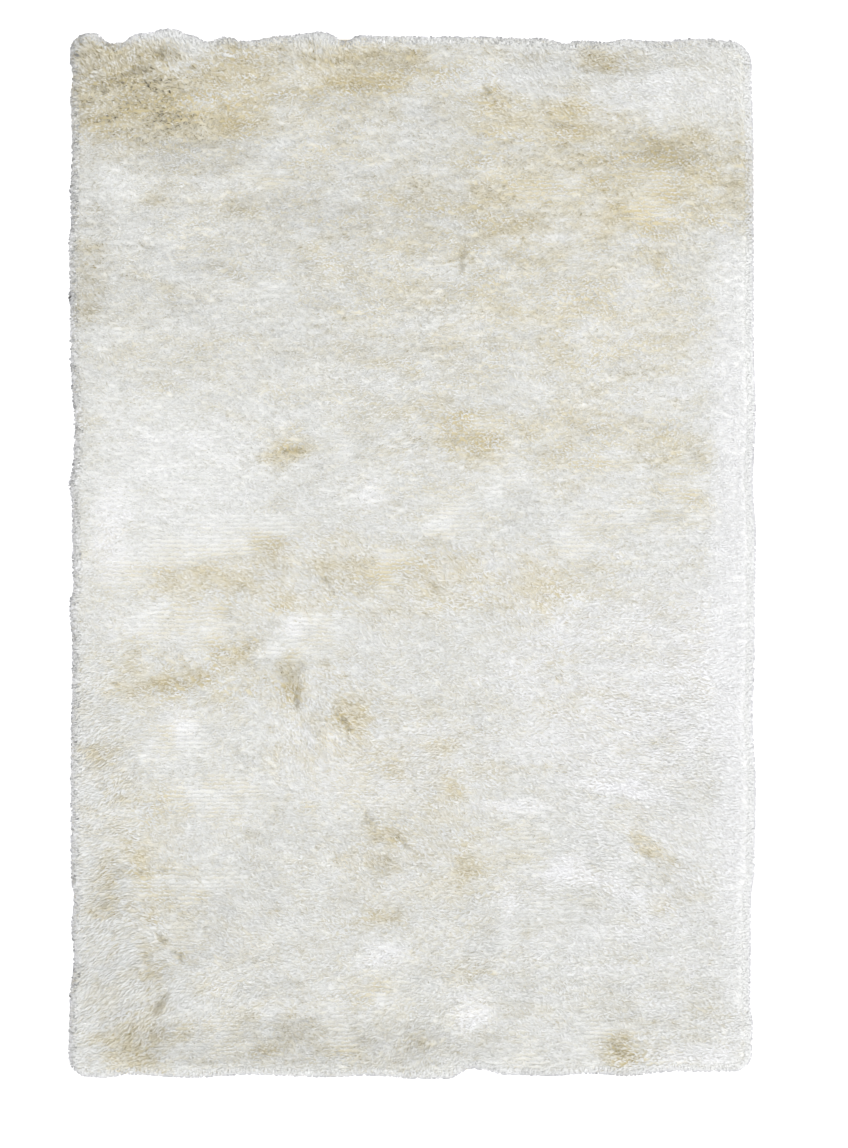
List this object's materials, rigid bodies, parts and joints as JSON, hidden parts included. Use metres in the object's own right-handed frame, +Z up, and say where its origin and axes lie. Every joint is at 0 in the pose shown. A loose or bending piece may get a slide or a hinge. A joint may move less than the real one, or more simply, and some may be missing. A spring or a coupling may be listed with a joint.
{
  "type": "shag rug",
  "caption": "Rectangular shag rug lying flat: long silky ivory pile laid over in clumps, thinning to tapered locks round its rim.",
  "frame": {"origin": "middle of the rug's flat underside, on the floor", "axes": "+X across the rug's width, +Y along its length, +Z up out of the pile"},
  "size_m": [1.5248, 2.3246, 0.0478],
  "materials": {
    "ivory_pile": "long silky tufted pile, soft sheen"
  },
  "bodies": {
    "root": {"shag_rug": "ivory_pile"}
  },
  "joints": []
}
